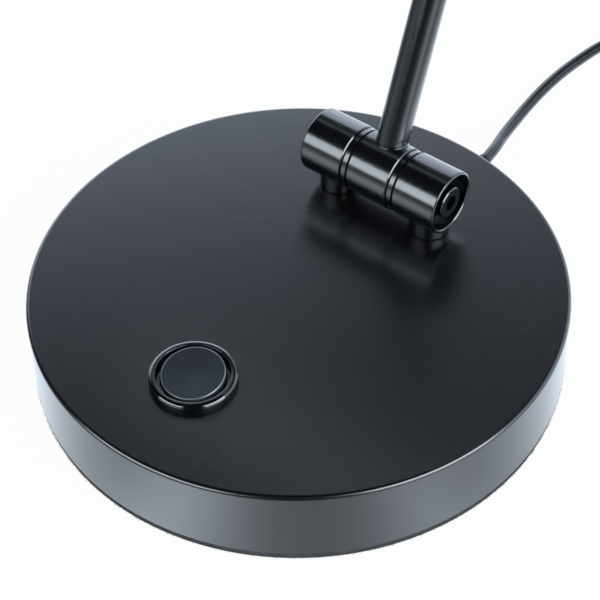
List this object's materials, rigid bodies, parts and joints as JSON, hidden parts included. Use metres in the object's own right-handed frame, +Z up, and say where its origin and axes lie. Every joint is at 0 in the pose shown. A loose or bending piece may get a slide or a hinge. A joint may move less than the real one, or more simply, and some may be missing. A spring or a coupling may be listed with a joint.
{
  "type": "piano lamp",
  "caption": "Piano lamp with a weighted round base, a push button, a hinged arm and a tilting trough shade on friction hinges, with its mains cord and plug.",
  "frame": {"origin": "centre of the felt's underside, on the surface that the lamp stands on", "axes": "+Z up, -Y towards the side with the push button, X along both hinge axes"},
  "size_m": [0.4832, 0.4165, 0.4126],
  "materials": {
    "base_black": "satin",
    "gloss_black": "gloss",
    "washer_black": "matte",
    "bezel_black": "gloss",
    "cap_grey": "satin",
    "bright_steel": "polished",
    "black_oxide": "satin",
    "plain_steel": "satin",
    "iron": "matte",
    "felt": "matte",
    "brass": "satin",
    "black_plastic": "matte",
    "board_green": "satin",
    "terminal_green": "satin",
    "winding": "satin",
    "can": "satin",
    "lead_grey": "satin",
    "cord_black": "gloss",
    "moulded_black": "satin",
    "tie_black": "matte",
    "shade_black": "satin",
    "board_white": "satin",
    "chip_yellow": "gloss",
    "opal": "satin"
  },
  "bodies": {
    "base": {"ballast": "iron", "barrel_left": "gloss_black", "barrel_right": "gloss_black", "base_cover": "base_black", "base_plate": "plain_steel", "board_spacers": "brass", "button_bezel": "bezel_black", "button_nut": "plain_steel", "button_spring": "plain_steel", "cord_clamp": "black_plastic", "cord_coil": "cord_black", "cord_run": "cord_black", "cord_tail": "cord_black", "cord_tie": "tie_black", "driver_board": "board_green", "driver_capacitors": "can", "driver_transformer": "winding", "felt_pad": "felt", "friction_washers": "washer_black", "hinge_discs": "gloss_black", "hinge_posts": "gloss_black", "hinge_screw": "black_oxide", "lamp_lead": "lead_grey", "mains_lead": "cord_black", "pivot_tube": "plain_steel", "plate_screws": "plain_steel", "plug_body": "moulded_black", "plug_pins": "bright_steel", "post_nuts": "plain_steel", "small_screws": "plain_steel", "spring_washers": "plain_steel", "strain_relief": "moulded_black", "switch_body": "black_plastic", "switch_lead": "lead_grey", "switch_terminals": "brass", "terminal_block": "terminal_green"},
    "arm": {"arm_barrel_lower": "gloss_black", "arm_barrel_upper": "gloss_black", "arm_tube": "gloss_black", "arm_lead": "lead_grey"},
    "head": {"cap_screws": "plain_steel", "diffuser": "opal", "head_barrel_left": "gloss_black", "head_barrel_right": "gloss_black", "head_friction_washers": "washer_black", "head_hinge_discs": "gloss_black", "head_hinge_screw": "black_oxide", "head_lead": "lead_grey", "head_pivot_tube": "plain_steel", "head_post_nuts": "plain_steel", "head_posts": "gloss_black", "head_spring_washers": "plain_steel", "led_board": "board_white", "led_carrier": "can", "led_chips": "chip_yellow", "saddle_washers": "can", "shade": "shade_black", "shade_cap_left": "shade_black", "shade_cap_right": "shade_black"},
    "button": {"button_cap": "cap_grey"}
  },
  "joints": [
    {"name": "arm_tilt", "type": "hinge", "parent": "base", "child": "arm", "pos_m": [0, 0.0553, 0.053], "axis": [1, 0, 0], "range_deg": [-25, 95]},
    {"name": "head_tilt", "type": "hinge", "parent": "arm", "child": "head", "pos_m": [0, 0.19016, 0.38679], "axis": [1, 0, 0], "range_deg": [-80, 9]},
    {"name": "button_press", "type": "slide", "parent": "base", "child": "button", "axis": [0, 0, -1], "range_m": [0, 0.0015], "stiffness_N_per_m": 400, "springref_m": -0.0015, "deforming": ["button_spring"]}
  ]
}
